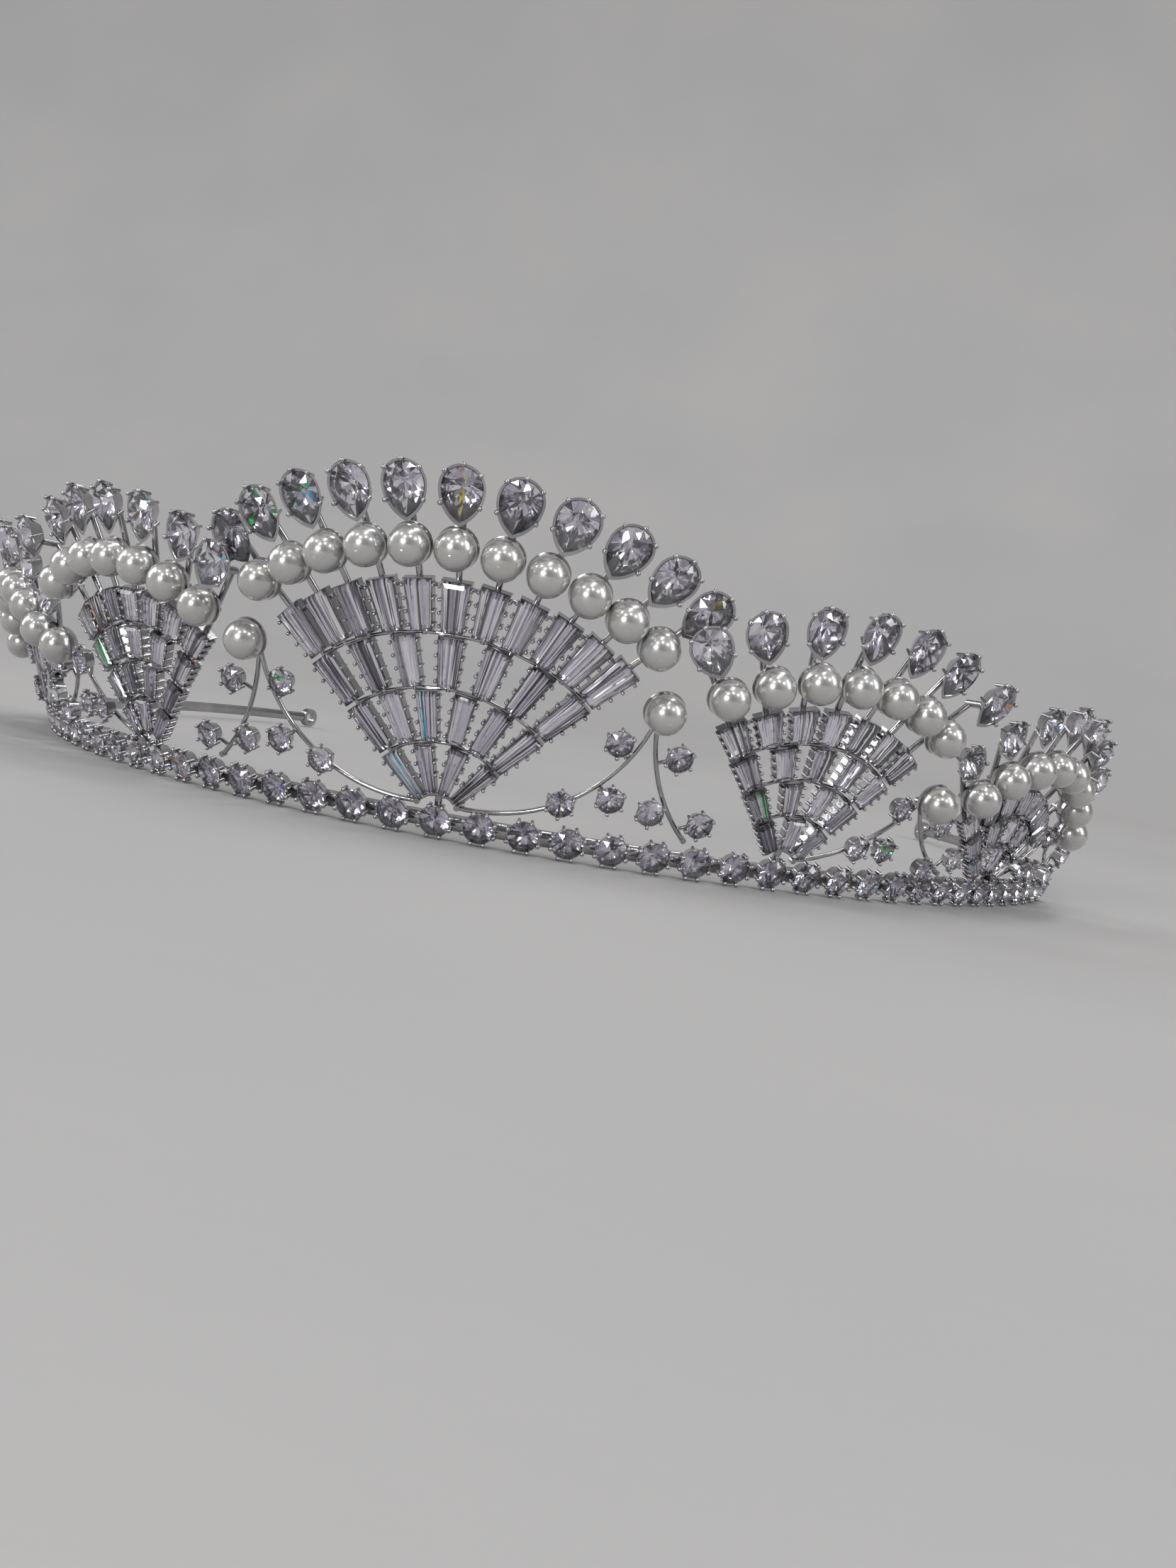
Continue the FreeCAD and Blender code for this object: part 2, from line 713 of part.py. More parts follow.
class Vine:
    """Pair of wishbones of two wires, with a pearl on top and stones along the wires."""

    # Each stone: which wire, how far down it, and which side of it (0 is on the wire).
    STONES = (
        ("long", 0.22, -1),
        ("long", 0.38, 1),
        ("long", 0.58, 0),
        ("short", 0.36, 1),
        ("short", 0.72, -1),
        ("short", 0.90, 1),
    )
    # How far the short wire bows, as a share of its length.
    SHORT_BULGE = -0.1

    def __init__(self, name, pearl, long_foot, short_foot, bulge):
        self.name = name
        self.pearl = pearl
        self.feet = {"long": long_foot, "short": short_foot}
        self.bulge = {"long": bulge, "short": self.SHORT_BULGE}
        self.homes = both_sides(pearl[0] * PITCH, pearl[1] * PITCH)

    def seat(self, along, up, out=0.0):
        """Placement of the right vine's pieces, from pitches along and up."""
        return seat(along * PITCH, up * PITCH, out)

    def wire_place(self, wire, share, sideways=0.0):
        """Place along a wire, in pitches: a shallow bow from the pearl to the wire's foot."""
        start, end = self.pearl, self.feet[wire]
        run = (end[0] - start[0], end[1] - start[1])
        bow = self.bulge[wire] * 4 * share * (1 - share) + sideways / math.hypot(*run)
        return (
            start[0] + run[0] * share - run[1] * bow,
            start[1] + run[1] * share + run[0] * bow,
        )

    def stone_place(self, wire, share, hand):
        """A stone touches its wire from one side, or sits on the wire."""
        setting = size("vine_stone_radius") * (size("prong_circle") + size("prong_ball"))
        reach = (setting + size("vine_wire_radius")) / PITCH
        return self.wire_place(wire, share, hand * reach)

    def wires(self):
        """The two bowed wires, the twig to each stone and the cup's neck."""
        radius = size("vine_wire_radius")
        made = []
        for wire in self.feet:
            ends = [self.seat(*self.wire_place(wire, share)).Base for share in (0.0, 0.5, 1.0)]
            bow = Part.Wire([Part.Arc(*ends).toShape()])
            start = bow.Edges[0].tangentAt(bow.Edges[0].FirstParameter)
            section = Part.Wire([Part.Circle(ends[0], start, radius).toShape()])
            made.append(bow.makePipeShell([section], True, False))
            end = self.seat(*self.feet[wire])
            made.append(solder(end.Base, facing_of(end), radius))
        for wire, share, hand in self.STONES:
            if hand:
                on_wire = self.seat(*self.wire_place(wire, share)).Base
                behind = self.seat(*self.stone_place(wire, share, hand)).Base
                made.append(rod(on_wire, behind, size("twig_radius")))
        cup_back = size("pearl_out") - size("pearl_radius") - size("cup_wall") / 2
        neck = [self.seat(*self.pearl, out).Base for out in (-size("neck_radius"), cup_back)]
        made.append(rod(*neck, size("neck_radius")))
        return made

    def pearl_seat(self):
        """Where the pearl's centre is."""
        return self.seat(*self.pearl, size("pearl_out"))

    def make(self, cup, setting, stone):
        """The vine's wires with the pearl's cup, its settings and its stones."""
        out = size("vine_stone_radius") * size("collet_start") + size("vine_stone_rise")
        seats = [self.seat(*self.stone_place(*place), out) for place in self.STONES]
        pieces = {
            "wires": [fuse(self.wires() + [placed(cup, self.pearl_seat())])],
            "settings": [placed(setting, spot) for spot in seats],
            "stones": [placed(stone, spot) for spot in seats],
        }
        for part, shapes in pieces.items():
            keep_sides(self.name, part, shapes, self.homes)


# ---------------------------------------------------------------- assembly

make_rail()
make_eyelet("eyelet_left", -1)
make_eyelet("eyelet_right", 1)

pearl = bound("Part::Sphere", "pearl", Radius="[pearl_radius]")
cup = make_pearl_cup()
base_stone = make_round_stone("base_stone", "base_stone_radius")
base_setting = make_round_setting("base_setting", "base_stone_radius", 8)
vine_stone = make_round_stone("vine_stone", "vine_stone_radius")
vine_setting = make_round_setting("vine_setting", "vine_stone_radius", 6)
document.recompute()

each_side = int(size("base_stones_each_side"))
base_seats = [
    seat(index * PITCH, 0.0, size("base_stone_out"))
    for index in range(-each_side, each_side + 1)
]
base_home = seat(0.0, 0.0)
base_settings = [placed(base_setting.Shape, spot) for spot in base_seats]
keep_group("base_settings", base_settings, base_home)
keep_group("base_stones", [placed(base_stone.Shape, spot) for spot in base_seats], base_home)

# Place on the stone line, bars in each tier from the top, the pears' scale, and how much
# further out the two pears at the fan's edges stand.
fans = (
    Fan("fan_centre", "centre", 0.0, (11, 7, 6, 4), 1.0, -0.8),
    Fan("fan", "side", size("side_station"), (7, 5, 4, 3), 0.95, 1.75),
    Fan("fan_far", "flank", size("flank_station"), (7, 5, 3), 0.85, 0.0),
)
for fan in fans:
    fan.make(cup.Shape, pearl.Shape)

# Pearl, foot of the long wire and foot of the short one, in pitches along and up, and how
# far the long wire bows, as a share of its length.
vines = (
    Vine("vine_inner", (4.27, 3.45), (0.45, 0.42), (5.55, 0.55), 0.2),
    Vine("vine_middle", (11.47, 2.35), (8.45, 0.42), (13.4, 0.5), 0.1),
    Vine("vine_outer", (18.9, 1.95), (16.02, 0.36), (20.8, 0.75), 0.1),
)
for vine in vines:
    vine.make(cup.Shape, vine_setting.Shape, vine_stone.Shape)
valley_pearls = [placed(pearl.Shape, vine.pearl_seat()) for vine in vines]
keep_group("valley_pearls", valley_pearls + mirrored(valley_pearls), Placement())

# ---------------------------------------------------------------- checks and export

document.recompute()
for item in document.Objects:
    faults = {"Invalid", "Error"} & set(item.State)
    if faults:
        raise RuntimeError(f"{item.Label}: {sorted(faults)}")
for item in nodes:
    if item.Shape.isNull() or not item.Shape.isValid() or not item.Shape.Solids:
        raise RuntimeError(f"{item.Label}: its shape is not a valid solid")
for item in nodes:
    item.Shape.exportStep(f"parts/{item.Label}.step")

box = Part.makeCompound([item.Shape for item in nodes]).BoundBox
print(f"{len(nodes)} sub-parts")
print(f"X {box.XMin:.2f} to {box.XMax:.2f}")
print(f"Y {box.YMin:.2f} to {box.YMax:.2f}")
print(f"Z {box.ZMin:.2f} to {box.ZMax:.2f}")
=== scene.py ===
"""Looks of the bridal tiara: cut stones, nacre, bright metal, camera and light.

Metres. The tiara stands on z = 0 and its front faces -Y.
"""
import math
import random

import bmesh
import bpy
from mathutils import Matrix, Vector


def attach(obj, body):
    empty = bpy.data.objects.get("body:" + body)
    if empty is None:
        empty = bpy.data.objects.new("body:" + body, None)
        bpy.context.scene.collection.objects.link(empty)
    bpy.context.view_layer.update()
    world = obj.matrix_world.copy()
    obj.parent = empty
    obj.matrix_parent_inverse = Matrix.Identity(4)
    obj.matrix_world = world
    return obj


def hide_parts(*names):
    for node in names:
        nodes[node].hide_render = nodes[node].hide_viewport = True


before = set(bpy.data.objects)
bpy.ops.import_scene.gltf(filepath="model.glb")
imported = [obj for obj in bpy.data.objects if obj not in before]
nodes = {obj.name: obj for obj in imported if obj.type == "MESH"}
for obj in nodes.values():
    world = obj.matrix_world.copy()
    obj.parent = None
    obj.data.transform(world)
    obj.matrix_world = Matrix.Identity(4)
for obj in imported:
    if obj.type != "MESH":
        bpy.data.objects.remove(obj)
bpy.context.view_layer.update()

MM = 0.001

# ---------------------------------------------------------------- node trees


def new_material(name):
    """Material with a Principled shader, and its node tree's helper."""
    material = bpy.data.materials.new(name)
    material.use_nodes = True
    return material, Tree(material.node_tree)


class Tree:
    """Short ways to add and join shader nodes."""

    def __init__(self, tree):
        self.tree = tree
        self.shader = tree.nodes.get("Principled BSDF")

    def add(self, kind, inputs=(), **settings):
        """New node; inputs is a list of (socket, value or output)."""
        node = self.tree.nodes.new(kind)
        for name, value in settings.items():
            setattr(node, name, value)
        for socket, value in inputs:
            self.feed(node.inputs[socket], value)
        return node

    def feed(self, socket, value):
        """Join an output to a socket, or set the socket's value."""
        if isinstance(value, bpy.types.NodeSocket):
            self.tree.links.new(value, socket)
        else:
            socket.default_value = value

    def principled(self, **inputs):
        """Set the shader's inputs; an underscore in a name stands for a space."""
        for name, value in inputs.items():
            self.feed(self.shader.inputs[name.replace("_", " ")], value)

    def place(self):
        """Position in the object's own frame."""
        return self.add("ShaderNodeTexCoord").outputs["Object"]

    def noise(self, scale, detail=3.0, roughness=0.5):
        """Noise from the object's own frame; scale is in cycles per metre."""
        node = self.add(
            "ShaderNodeTexNoise",
            [("Vector", self.place()), ("Scale", scale), ("Detail", detail)],
        )
        node.inputs["Roughness"].default_value = roughness
        return node.outputs["Fac"]

    def spread(self, value, low, high, start=0.3, end=0.7):
        """A value from start to end, spread over low to high."""
        node = self.add(
            "ShaderNodeMapRange",
            [("Value", value), ("From Min", start), ("From Max", end)],
        )
        node.inputs["To Min"].default_value = low
        node.inputs["To Max"].default_value = high
        return node.outputs["Result"]

    def ramp(self, value, stops, interpolation="LINEAR"):
        """Colour ramp; stops are (place, colour)."""
        node = self.add("ShaderNodeValToRGB", [("Fac", value)])
        ramp = node.color_ramp
        ramp.interpolation = interpolation
        while len(ramp.elements) < len(stops):
            ramp.elements.new(0.5)
        for element, (place, colour) in zip(ramp.elements, stops):
            element.position = place
            element.color = (*colour, 1.0)
        return node.outputs["Color"]

    def bump(self, height, depth, strength=1.0):
        """Normal from a height between 0 and 1, that many metres deep."""
        node = self.add(
            "ShaderNodeBump",
            [("Height", height), ("Distance", depth), ("Strength", strength)],
        )
        return node.outputs["Normal"]


# ---------------------------------------------------------------- materials


def silver_material():
    """Bright plating with faint polishing ripples and duller patches."""
    material, tree = new_material("bright_silver_plate")
    patches = tree.noise(220, 4.0)
    ripples = tree.noise(2600, 2.0)
    colour = tree.ramp(patches, [(0.3, (0.34, 0.34, 0.35)), (0.7, (0.52, 0.51, 0.52))])
    tree.principled(
        Base_Color=colour,
        Metallic=1.0,
        Roughness=tree.spread(patches, 0.10, 0.20),
        Normal=tree.bump(ripples, 0.02 * MM, 0.6),
    )
    return material


def pearl_material():
    """White nacre: it mirrors the room softly under a glossy lacquer."""
    material, tree = new_material("white_nacre")
    drift = tree.noise(260, 3.0)
    orient = tree.ramp(
        drift,
        [(0.3, (0.50, 0.49, 0.47)), (0.5, (0.55, 0.54, 0.52)), (0.7, (0.50, 0.505, 0.505))],
    )
    tree.principled(
        Base_Color=orient,
        Metallic=0.7,
        Roughness=tree.spread(tree.noise(900), 0.22, 0.28),
        Coat_Weight=1.0,
        Coat_Roughness=0.05,
        Coat_IOR=1.7,
        Normal=tree.bump(tree.noise(900, 2.0), 0.004 * MM, 0.25),
    )
    return material


# Face attribute with the painted light of each back facet: its painted reflection or painted fire
# colour.
FACET = "facet_painted_light"
# Colour of a back facet from each tone up, all of it painted light: dark to white tones are
# painted reflections and glints, and facets painted with fire colours, in place of white light
# broken into colours, have a tone above the value set next.
PAINTED_FIRE = 0.95
PAINTED_FACET_LIGHT = (
    (0.00, (0.13, 0.125, 0.15)),
    (0.10, (0.45, 0.44, 0.49)),
    (0.25, (0.74, 0.72, 0.79)),
    (0.45, (0.93, 0.91, 0.97)),
    (0.70, (1.00, 1.00, 1.00)),
    (0.950, (0.04, 0.60, 0.85)),
    (0.965, (0.14, 0.14, 1.00)),
    (0.975, (0.08, 0.85, 0.25)),
    (0.985, (1.00, 0.85, 0.12)),
    (0.993, (1.00, 0.35, 0.15)),
)


def crystal_material():
    """Clear stone, as seen on its table and crown."""
    material, tree = new_material("clear_stone_crown")
    tree.principled(
        Base_Color=tree.ramp(
            tree.noise(700, 2.0), [(0.3, (0.95, 0.94, 0.99)), (0.7, (0.99, 0.98, 1.0))]
        ),
        Roughness=0.01,
        IOR=1.75,
        Transmission_Weight=1.0,
    )
    return material


def facet_material():
    """Back facets, which mirror the light that comes in. Each has a painted tone of its own: a
    painted reflection from dark to white, or a rare painted fire colour.
    """
    material, tree = new_material("clear_stone_back")
    tone = tree.add("ShaderNodeAttribute", attribute_name=FACET)
    tree.principled(
        # Base colour is painted light: painted reflections and glints from dark to white, and rare
        # painted fire colours.
        Base_Color=tree.ramp(tone.outputs["Fac"], PAINTED_FACET_LIGHT, "CONSTANT"),
        Metallic=0.85,
        Roughness=0.06,
    )
    return material


def floor_material():
    """Pale matt paper with a faint grain."""
    material, tree = new_material("pale_floor")
    tone = tree.ramp(tree.noise(9.0), [(0.3, (0.42, 0.415, 0.415)), (0.7, (0.45, 0.445, 0.44))])
    grain = tree.bump(tree.noise(160), 0.3 * MM, 0.25)
    tree.principled(Base_Color=tone, Roughness=0.75, Normal=grain)
    return material


silver = silver_material()
nacre = pearl_material()
crystal = crystal_material()
mirror_facets = facet_material()

# ---------------------------------------------------------------- solids of the frame


# Corners that lie closer than this, in metres, are joined into one.
WELD = 0.5e-6
# Faces belong to one flat side if their normals agree this well and they lie level.
SAME_DIRECTION = 0.9999
SAME_LEVEL = 0.01 * MM
# How many of a solid's largest faces are tried as the start of a flat side, and how much
# larger than the best one a side has to be to take its place.
STARTS = 12
LARGER = 1.0001


def solids_of(node):
    """The separate solids of a CAD node, each as a list of bmesh faces, and their mesh."""
    mesh = bmesh.new()
    mesh.from_mesh(nodes[node].data)
    bmesh.ops.remove_doubles(mesh, verts=mesh.verts, dist=WELD)
    mesh.normal_update()
    seen = set()
    found = []
    for first in mesh.faces:
        if first in seen:
            continue
        seen.add(first)
        group = [first]
        for face in group:
            for edge in face.edges:
                for other in edge.link_faces:
                    if other not in seen:
                        seen.add(other)
                        group.append(other)
        found.append(group)
    return found, mesh


def largest_flat(faces):
    """Normal, centre of area and faces of a solid's largest flat face."""
    best = (0.0, None)
    for start in sorted(faces, key=lambda face: -face.calc_area())[:STARTS]:
        level = start.normal.dot(start.calc_center_median())
        flat = [
            face
            for face in faces
            if face.normal.dot(start.normal) > SAME_DIRECTION
            and abs(start.normal.dot(face.calc_center_median()) - level) < SAME_LEVEL
        ]
        area = sum(face.calc_area() for face in flat)
        if area > best[0] * LARGER:
            best = (area, flat)
    area, flat = best
    centre = sum((face.calc_center_median() * face.calc_area() for face in flat), Vector()) / area
    return flat[0].normal.copy(), centre, flat


def axes_matrix(x_axis, y_axis, z_axis, origin):
    """Matrix from three axes and an origin."""
    matrix = Matrix((x_axis, y_axis, z_axis)).transposed().to_4x4()
    matrix.translation = origin
    return matrix


def points_of(faces):
    """Every corner of the faces, once."""
    return list({vertex: None for face in faces for vertex in face.verts})


def sides_of(flat):
    """Sides round a flat group of faces, each as its two ends."""
    group = set(flat)
    edges = {edge: None for face in flat for edge in face.edges}
    rim = [edge for edge in edges if sum(face in group for face in edge.link_faces) == 1]
    return [tuple(vertex.co.copy() for vertex in edge.verts) for edge in rim]


# ---------------------------------------------------------------- cut stones


# Material slots of a stone's mesh: its crown is clear and its back facets mirror.
CLEAR, MIRROR = 0, 1
# How likely a back facet is to get a painted fire colour.
PAINTED_FIRE_CHANCE = 0.012


class StoneMesh:
    """Mesh of many stones, with a clear front and a painted tone of light for each back facet."""

    def __init__(self, name, seed):
        self.name = name
        self.random = random.Random(seed)
        self.points = []
        self.facets = []
        self.painted_tones = []
        self.finishes = []

    def add(self, matrix, points, crown, pavilion):
        """Add one stone; its points are in millimetres in the matrix's frame."""
        start = len(self.points)
        self.points += [matrix @ (Vector(point) * MM) for point in points]
        self.facets += [[start + index for index in facet] for facet in crown + pavilion]
        self.finishes += [CLEAR] * len(crown) + [MIRROR] * len(pavilion)
        # Back facets get tones of painted light, which are painted reflections and painted fire;
        # the crown stays clear.
        self.painted_tones += [0.0] * len(crown) + [self.tone() for facet in pavilion]

    def tone(self):
        """Painted tone of a back facet: mostly a painted reflection from dark to white, rarely a
        painted fire colour.
        """
        if self.random.random() < PAINTED_FIRE_CHANCE:
            return self.random.uniform(PAINTED_FIRE, 1.0)
        return self.random.uniform(0.0, PAINTED_FIRE)

    def build(self, *replaced):
        """Make the object that stands for CAD nodes."""
        mesh = bpy.data.meshes.new(self.name)
        mesh.from_pydata(self.points, [], self.facets)
        attribute = mesh.attributes.new(FACET, "FLOAT", "FACE")
        attribute.data.foreach_set("value", self.painted_tones)
        mesh.materials.append(crystal)
        mesh.materials.append(mirror_facets)
        mesh.polygons.foreach_set("material_index", self.finishes)
        stone = bpy.data.objects.new(self.name, mesh)
        bpy.context.scene.collection.objects.link(stone)
        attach(stone, "root")
        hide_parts(*replaced)


# Sides of a brilliant's table, and its rings as shares of its outline, of its crown and of
# its pavilion.
TABLE_SIDES = 8
TABLE_SPREAD = 0.56
STAR_SPREAD, STAR_HEIGHT = 0.78, 0.6
LOWER_SPREAD, LOWER_DEPTH = 0.24, 0.78
# Half the girdle's thickness, as a share of the crown.
HALF_GIRDLE = 0.04


def brilliant(outline, crown, pavilion):
    """Brilliant cut on any outline: its points, crown facets and back facets.

    outline gives x and y at an angle. crown and pavilion are the heights of the table
    and the culet, in the outline's units.
    """

    def ring(count, turn, share, height):
        angles = [2 * math.pi * (index + turn) / count for index in range(count)]
        return [(x * share, y * share, height) for x, y in map(outline, angles)]

    table = ring(TABLE_SIDES, 0.0, TABLE_SPREAD, crown)
    stars = ring(TABLE_SIDES, 0.5, STAR_SPREAD, crown * STAR_HEIGHT)
    top = ring(2 * TABLE_SIDES, 0.0, 1.0, crown * HALF_GIRDLE)
    bottom = ring(2 * TABLE_SIDES, 0.0, 1.0, -crown * HALF_GIRDLE)
    lowers = ring(TABLE_SIDES, 0.5, LOWER_SPREAD, -pavilion * LOWER_DEPTH)
    points = table + stars + top + bottom + lowers + [(0.0, 0.0, -pavilion)]
    star = len(table)
    upper = star + len(stars)
    under = upper + len(top)
    lower = under + len(bottom)
    culet = lower + len(lowers)
    front, back = [list(range(TABLE_SIDES))], []
    for index in range(TABLE_SIDES):
        following, before = (index + 1) % TABLE_SIDES, (index - 1) % TABLE_SIDES
        corner, middle, next_corner = 2 * index, 2 * index + 1, 2 * following
        front += [
            [index, star + before, upper + corner, star + index],
            [index, star + index, following],
            [star + index, upper + corner, upper + middle],
            [star + index, upper + middle, upper + next_corner],
        ]
        back += [
            [upper + corner, under + corner, under + middle, upper + middle],
            [upper + middle, under + middle, under + next_corner, upper + next_corner],
            [culet, lower + index, under + corner, lower + before],
            [lower + index, under + middle, under + corner],
            [lower + index, under + next_corner, under + middle],
        ]
    return points, front, back


def round_outline(radius):
    """Circle."""
    return lambda angle: (radius * math.cos(angle), radius * math.sin(angle))


def pear_outline(radius, point):
    """Round end of a radius at +Y and two flank arcs that meet at a point at -Y."""
    bend = (radius**2 + point**2) / (2 * radius)

    def at(angle):
        x, y = math.cos(angle), math.sin(angle)
        if y >= 0:
            return radius * x, radius * y
        # The ray at this angle meets the flank's arc at this reach.
        inward = (bend - radius) * math.copysign(1.0, x)
        reach = math.sqrt((inward * x) ** 2 - inward**2 + bend**2) - inward * x
        return reach * x, reach * y

    return at


# How far a baguette's girdle reaches over the channel's wall, in millimetres.
GIRDLE_OVER_WALL = 0.15
# Lower and upper edge of that girdle, as shares of the baguette's height.
GIRDLE_EDGES = (0.56, 0.64)
# Steps above the girdle: insets as shares of half the low end's width, and heights as
# shares of the baguette's height.
FRONT_STEPS = ((0.05, 0.84), (0.45, 1.0))
# Ribs of a baguette's back, from edge to edge: shares of half its width and its height.
BACK_RIBS = (
    (-1.0, 0.53),
    (-0.80, 0.34),
    (-0.62, 0.38),
    (-0.44, 0.20),
    (-0.26, 0.25),
    (-0.10, 0.06),
    (0.04, 0.14),
    (0.22, 0.08),
    (0.42, 0.26),
    (0.60, 0.24),
    (0.80, 0.40),
    (1.0, 0.53),
)


def step_cut(low_width, high_width, length, height):
    """Tapered baguette: its points, crown facets and back facets.

    A ribbed back fills the channel, the girdle lies on the channel's walls, and steps
    rise to the table.
    """
    half = low_width / 2
    spread = high_width / low_width
    steps = [(-GIRDLE_OVER_WALL, share) for share in GIRDLE_EDGES]
    steps += [(inset * half, share) for inset, share in FRONT_STEPS]
    points = []
    for inset, share in steps:
        low, high, z = half - inset, high_width / 2 - inset, share * height
        points += [
            (-low, inset, z),
            (low, inset, z),
            (high, length - inset, z),
            (-high, length - inset, z),
        ]
    sides = 4
    table = len(points) - sides
    front = [[table + side for side in range(sides)]]
    for under in range(0, table, sides):
        over = under + sides
        for side in range(sides):
            following = (side + 1) % sides
            front.append([under + side, under + following, over + following, over + side])
    low_end = len(points)
    points += [(half * x, 0.0, z * height) for x, z in BACK_RIBS]
    high_end = len(points)
    points += [(half * spread * x, length, z * height) for x, z in BACK_RIBS]
    last = len(BACK_RIBS) - 1
    back = [
        [low_end + rib, high_end + rib, high_end + rib + 1, low_end + rib + 1]
        for rib in range(last)
    ]
    back += [
        [1, 0] + [low_end + rib for rib in range(last + 1)],
        [3, 2] + [high_end + rib for rib in range(last, -1, -1)],
        [2, 1, low_end + last, high_end + last],
        [0, 3, high_end, low_end],
    ]
    return points, front, back


# Shapes of the frame's plain stones, as shares of their radius at the girdle.
ROUND_TABLE = 0.32
ROUND_CULET = 0.72
PEAR_POINT = 1.6
PEAR_CROWN = 0.375
PEAR_PAVILION = 0.675


def cut_round_stones(node):
    """Brilliants in place of a node's round stones."""
    solids, mesh = solids_of(node)
    made = StoneMesh(node + "_cut", node)
    for faces in solids:
        facing, centre, flat = largest_flat(faces)
        heights = [(point.co - centre).dot(facing) for point in points_of(faces)]
        radius = -min(heights) / (ROUND_TABLE + ROUND_CULET)
        corner = points_of(flat)[0].co - centre
        across = (corner - facing * corner.dot(facing)).normalized()
        origin = centre - facing * ROUND_TABLE * radius
        home = axes_matrix(across, facing.cross(across), facing, origin)
        size = radius / MM
        cut = brilliant(round_outline(size), ROUND_TABLE * size, ROUND_CULET * size)
        made.add(home, *cut)
    mesh.free()
    made.build(node)


def cut_pears(node):
    """Pear brilliants in place of a node's pear stones."""
    solids, mesh = solids_of(node)
    made = StoneMesh(node + "_cut", node)
    for faces in solids:
        facing, centre = largest_flat(faces)[:2]
        level = [point.co - facing * (point.co - centre).dot(facing) for point in points_of(faces)]
        tip = max(level, key=lambda point: (point - centre).length)
        climb = (centre - tip).normalized()
        length = max((point - tip).dot(climb) for point in level)
        radius = length / (1 + PEAR_POINT)
        origin = tip + climb * PEAR_POINT * radius - facing * PEAR_CROWN * radius
        home = axes_matrix(climb.cross(facing), climb, facing, origin)
        size = radius / MM
        outline = pear_outline(size, PEAR_POINT * size)
        made.add(home, *brilliant(outline, PEAR_CROWN * size, PEAR_PAVILION * size))
    mesh.free()
    made.build(node)


def cut_baguettes(node):
    """Step-cut baguettes in place of a node's plain ones."""
    solids, mesh = solids_of(node)
    made = StoneMesh(node + "_cut", node)
    for faces in solids:
        back, centre, flat = largest_flat(faces)
        facing = -back
        sides = sorted(sides_of(flat), key=lambda side: (side[1] - side[0]).length)
        low, high = sides[:2]
        low_middle, high_middle = (low[0] + low[1]) / 2, (high[0] + high[1]) / 2
        climb = high_middle - low_middle
        length = climb.length
        climb.normalize()
        height = max((point.co - centre).dot(facing) for point in points_of(faces))
        widths = [(side[1] - side[0]).length / MM for side in (low, high)]
        home = axes_matrix(climb.cross(facing), climb, facing, low_middle)
        made.add(home, *step_cut(*widths, length / MM, height / MM))
    mesh.free()
    made.build(node)


for node in sorted(nodes):
    if node.endswith("baguettes"):
        cut_baguettes(node)
    elif node.endswith("pear_stones"):
        cut_pears(node)
    elif node.endswith("stones"):
        cut_round_stones(node)
    else:
        finish = nacre if node.endswith("pearls") else silver
        nodes[node].data.materials.clear()
        nodes[node].data.materials.append(finish)

# ---------------------------------------------------------------- floor, light and camera


# Floor and wall, in metres: half their width, the floor's front edge, where the wall
# stands, its top, the radius of the bend between them, and into how many straight parts
# that bend is divided.
FLOOR_REACH = 8.0
FLOOR_FRONT = -6.0
WALL = 0.9
WALL_TOP = 2.5
BEND = 0.5
BEND_PARTS = 24


def seamless_floor():
    """Pale floor that curves up into a wall behind the tiara."""
    profile = [(FLOOR_FRONT, 0.0), (WALL - BEND, 0.0)]
    for index in range(1, BEND_PARTS + 1):
        angle = math.pi / 2 * index / BEND_PARTS
        profile.append((WALL - BEND + BEND * math.sin(angle), BEND - BEND * math.cos(angle)))
    profile.append((WALL, WALL_TOP))
    points = [(x, y, z) for y, z in profile for x in (-FLOOR_REACH, FLOOR_REACH)]
    faces = [
        (2 * index, 2 * index + 1, 2 * index + 3, 2 * index + 2)
        for index in range(len(profile) - 1)
    ]
    mesh = bpy.data.meshes.new("floor")
    mesh.from_pydata(points, [], faces)
    for face in mesh.polygons:
        face.use_smooth = True
    mesh.materials.append(floor_material())
    floor = bpy.data.objects.new("floor", mesh)
    bpy.context.scene.collection.objects.link(floor)


# Point in the front half of the tiara that every lamp faces.
LIT_POINT = Vector((0.0, -0.03, 0.015))


def lamp(name, place, width, power, height=None):
    """Rectangular soft light at a place, turned to the tiara."""
    data = bpy.data.lights.new(name, "AREA")
    data.shape = "RECTANGLE"
    data.size = width
    data.size_y = height or width
    data.energy = power
    light = bpy.data.objects.new(name, data)
    light.location = place
    aim = LIT_POINT - Vector(place)
    light.rotation_euler = aim.to_track_quat("-Z", "Y").to_euler()
    bpy.context.scene.collection.objects.link(light)


def soft_lamps():
    """A long lamp above, a window at the front left and a screen on either side."""
    lamp("ceiling_strip", (0.25, -0.1, 1.6), width=1.8, power=7.0, height=0.22)
    lamp("window", (-0.36, -1.12, 0.25), width=0.24, power=4.2)
    lamp("side_left", (-1.2, 0.1, 0.5), width=0.5, power=3.0, height=0.8)
    lamp("side_right", (1.2, -0.3, 0.6), width=0.3, power=3.0, height=0.6)


def spark_lamps():
    """Small bright lamps in an arc at the front, which make stones and pearls sparkle."""
    first_azimuth, azimuth_step = -75, 30
    low, rise = 0.7, 0.25
    for index in range(6):
        azimuth = math.radians(first_azimuth + azimuth_step * index)
        place = (math.sin(azimuth), -math.cos(azimuth), low + rise * (index % 2))
        lamp(f"spark_{index}", place, width=0.12, power=0.9)


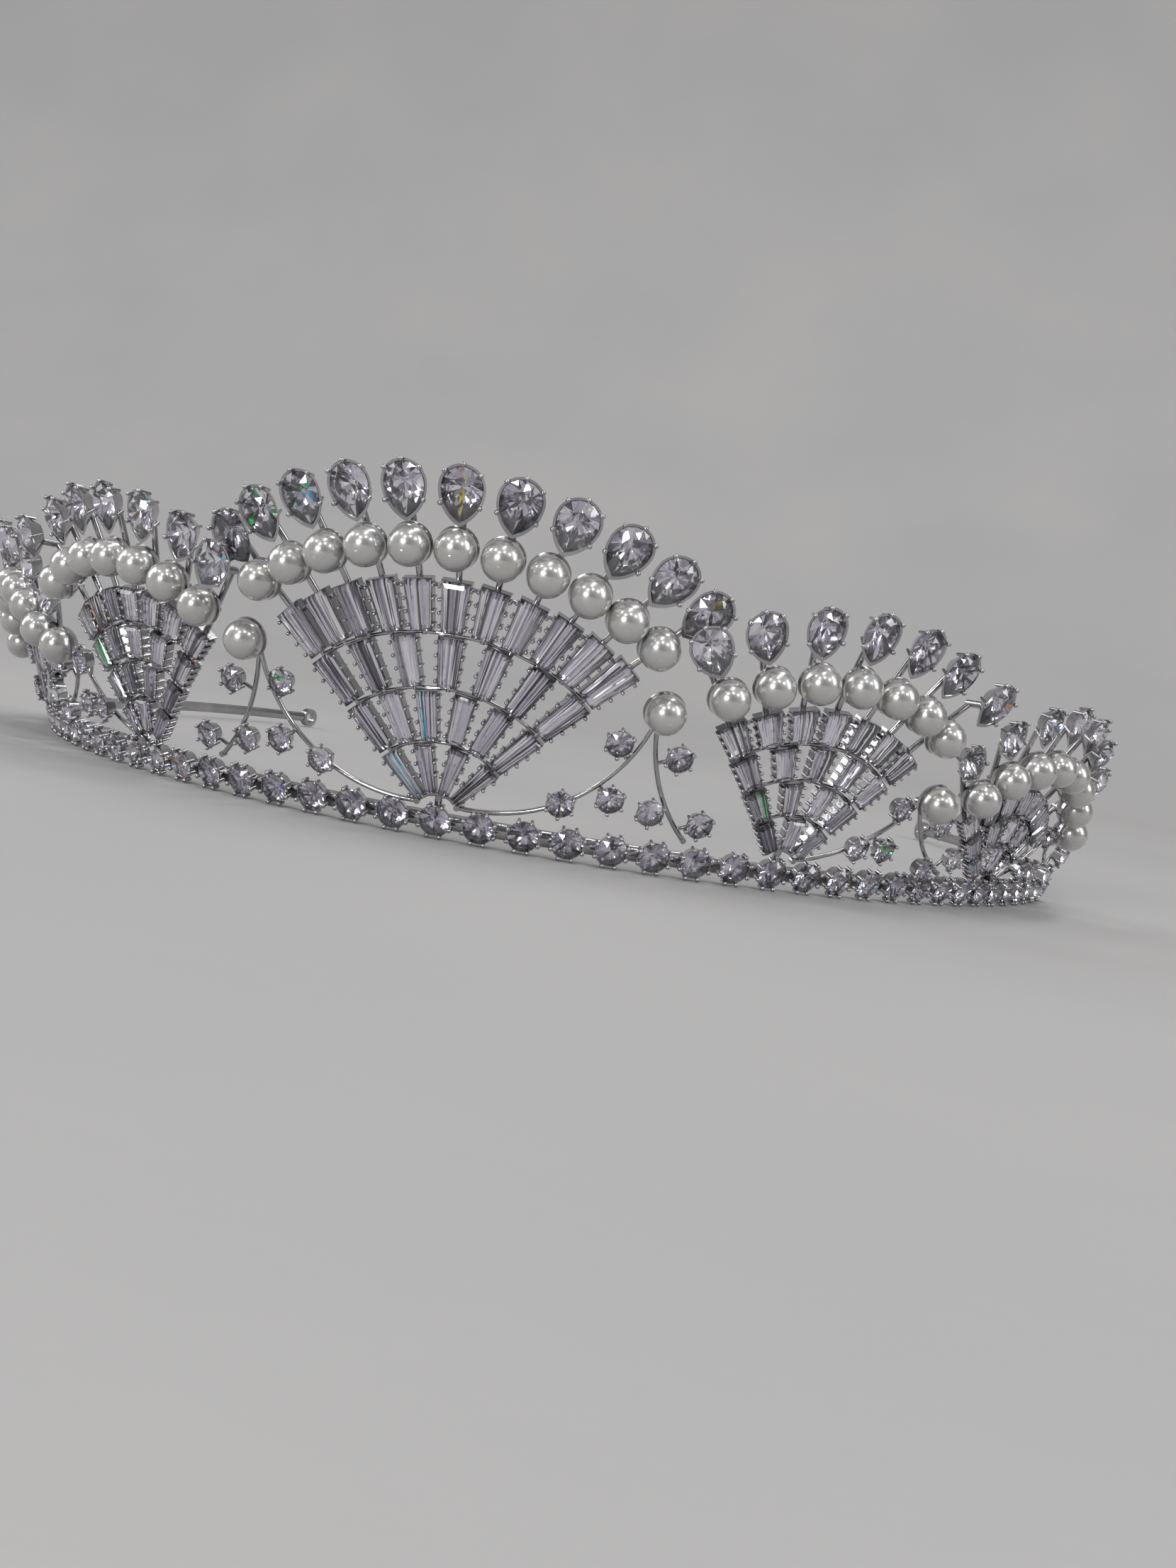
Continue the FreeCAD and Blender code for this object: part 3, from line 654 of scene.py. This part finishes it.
def room_light():
    """Even light from the room, darker where the viewer stands in front."""
    world = bpy.data.worlds.new("room")
    bpy.context.scene.world = world
    world.use_nodes = True
    tree = Tree(world.node_tree)
    direction = tree.add("ShaderNodeTexCoord").outputs["Generated"]
    height = tree.add("ShaderNodeSeparateXYZ", [("Vector", direction)])
    front = tree.spread(height.outputs["Y"], 0.0, 1.0, -1.0, 0.2)
    colour = tree.ramp(
        front,
        [(0.0, (0.08, 0.08, 0.09)), (0.3, (0.36, 0.355, 0.36)), (0.8, (0.54, 0.535, 0.54))],
    )
    background = world.node_tree.nodes["Background"]
    tree.feed(background.inputs["Color"], colour)
    background.inputs["Strength"].default_value = 1.0


# Point that the camera looks at and its distance from there, in metres, and its lens.
LOOK_AT = Vector((0.00883, -0.02006, 0.00535))
CAMERA_DISTANCE = 0.2149
CAMERA_LENS = 38.63


def make_camera():
    """Camera a little right of the middle and above the base, rolled clockwise."""
    azimuth, elevation, roll = math.radians(6.96), math.radians(3.57), math.radians(10.08)
    back = Vector(
        (
            math.sin(azimuth) * math.cos(elevation),
            -math.cos(azimuth) * math.cos(elevation),
            math.sin(elevation),
        )
    )
    right = Vector((math.cos(azimuth), math.sin(azimuth), 0))
    up = back.cross(right)
    turned_right = right * math.cos(roll) + up * math.sin(roll)
    turned_up = up * math.cos(roll) - right * math.sin(roll)
    data = bpy.data.cameras.new("camera")
    data.sensor_width = 36.0
    data.lens = CAMERA_LENS
    data.clip_start = 0.01
    data.clip_end = 20.0
    camera = bpy.data.objects.new("camera", data)
    place = LOOK_AT + back * CAMERA_DISTANCE
    camera.matrix_world = axes_matrix(turned_right, turned_up, back, place)
    bpy.context.scene.collection.objects.link(camera)
    bpy.context.scene.camera = camera


seamless_floor()
room_light()
soft_lamps()
spark_lamps()
make_camera()

bpy.context.scene.view_settings.view_transform = "Standard"
bpy.context.scene.cycles.transmission_bounces = 10
bpy.context.scene.cycles.max_bounces = 12
bpy.context.scene.cycles.sample_clamp_indirect = 6.0
